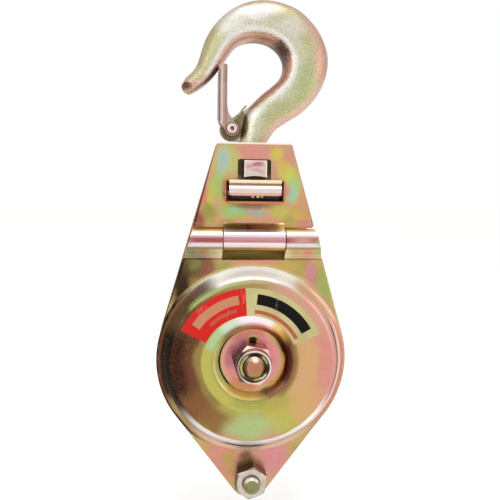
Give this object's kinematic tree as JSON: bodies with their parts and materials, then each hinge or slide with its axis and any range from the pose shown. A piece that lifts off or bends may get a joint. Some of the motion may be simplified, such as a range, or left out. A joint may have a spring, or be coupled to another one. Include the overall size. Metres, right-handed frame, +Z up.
{
  "type": "snatch block",
  "caption": "Snatch block with a swivel safety hook, one grooved sheave between pressed cheeks, and a hinged front gate held by a thumb latch.",
  "frame": {"origin": "saddle of the hook, the inner top of its bowl, where the block hangs", "axes": "+Z up along the load line; the gate, hinge and nuts face -Y; the mouth of the hook opens towards -X"},
  "size_m": [0.09, 0.048, 0.2365],
  "materials": {
    "forged_chromate": "yellow chromate over zinc on a forging, satin with fine grain",
    "pressed_chromate": "yellow chromate over zinc on pressed sheet, glossy and iridescent",
    "gate_chromate": "yellow chromate over zinc on flat sheet, iridescent pink, green and gold",
    "latch_chromate": "bright yellow chromate over zinc",
    "fastener_chromate": "yellow chromate over zinc",
    "plain_zinc": "bright zinc",
    "spring_steel": "bright spring wire",
    "sheave_steel": "turned steel, yellow chromate over zinc",
    "bush_bronze": "plain sintered bronze",
    "label_film": "printed film without lettering"
  },
  "bodies": {
    "hook": {"hook": "forged_chromate", "hook_latch_rivet": "latch_chromate", "hook_latch_spring": "spring_steel", "swivel_nut": "plain_zinc", "swivel_pin": "spring_steel"},
    "hook_latch": {"hook_latch": "latch_chromate"},
    "block": {"head_block": "forged_chromate", "head_rivet_left": "fastener_chromate", "head_rivet_right": "fastener_chromate", "rear_cheek": "pressed_chromate", "front_cheek": "pressed_chromate", "hinge_pin": "fastener_chromate", "swivel_washer": "plain_zinc", "sheave_bush": "bush_bronze", "axle_bolt": "fastener_chromate", "axle_nut": "fastener_chromate", "axle_nut_ring": "spring_steel", "tail_bolt": "fastener_chromate", "tail_nut": "plain_zinc", "tail_spacer": "plain_zinc"},
    "gate": {"gate": "gate_chromate", "latch_bracket": "gate_chromate", "gate_latch_pin": "spring_steel", "gate_latch_spring": "spring_steel"},
    "gate_latch": {"gate_latch": "latch_chromate"},
    "sheave": {"sheave": "sheave_steel"}
  },
  "joints": [
    {"name": "swivel", "type": "hinge", "parent": "hook", "child": "block", "pos_m": [0, 0, -0.058], "axis": [0, 0, 1], "continuous": true},
    {"name": "hook_latch_pivot", "type": "hinge", "parent": "hook", "child": "hook_latch", "pos_m": [-0.0103, 0, -0.0406], "axis": [0, 1, 0], "range_deg": [0, 32], "stiffness_Nm_per_rad": 0.03, "springref_deg": -28.65, "deforming": ["hook_latch_spring"]},
    {"name": "gate_hinge", "type": "hinge", "parent": "block", "child": "gate", "pos_m": [0, -0.0146, -0.0918], "axis": [1, 0, 0], "range_deg": [0, 150]},
    {"name": "gate_latch_pivot", "type": "hinge", "parent": "gate", "child": "gate_latch", "pos_m": [0, -0.0153, -0.0706], "axis": [1, 0, 0], "range_deg": [0, 20], "stiffness_Nm_per_rad": 0.02, "springref_deg": -28.65, "deforming": ["gate_latch_spring"]},
    {"name": "sheave_spin", "type": "hinge", "parent": "block", "child": "sheave", "pos_m": [0, 0, -0.149], "axis": [0, 1, 0], "continuous": true}
  ]
}
